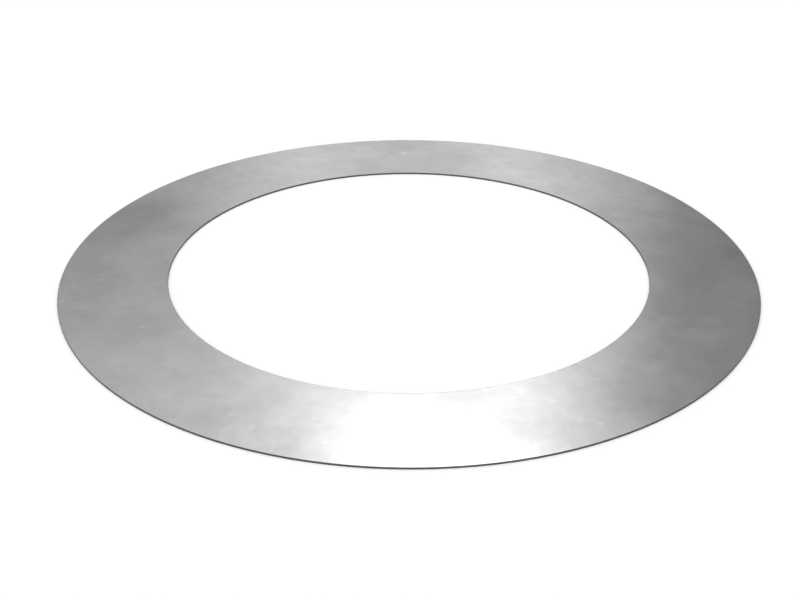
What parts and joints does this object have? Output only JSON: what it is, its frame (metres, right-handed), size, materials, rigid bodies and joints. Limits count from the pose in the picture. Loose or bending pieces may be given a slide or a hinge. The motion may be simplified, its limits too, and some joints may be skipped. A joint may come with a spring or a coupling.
{
  "type": "shim ring",
  "caption": "Thin flat steel ring that goes over a shaft or into a housing bore to take up end play.",
  "frame": {"origin": "centre of the ring on its lower face", "axes": "+Z along the ring's axis, up through the bore; the ring is the same all round, so X and Y are free"},
  "size_m": [0.036, 0.036, 0.0001],
  "materials": {
    "rolled_steel": "bright cold-rolled strip, satin smooth with a faint cloudy mottle, darker on the punched rims"
  },
  "bodies": {
    "root": {"shim_ring": "rolled_steel"}
  },
  "joints": []
}
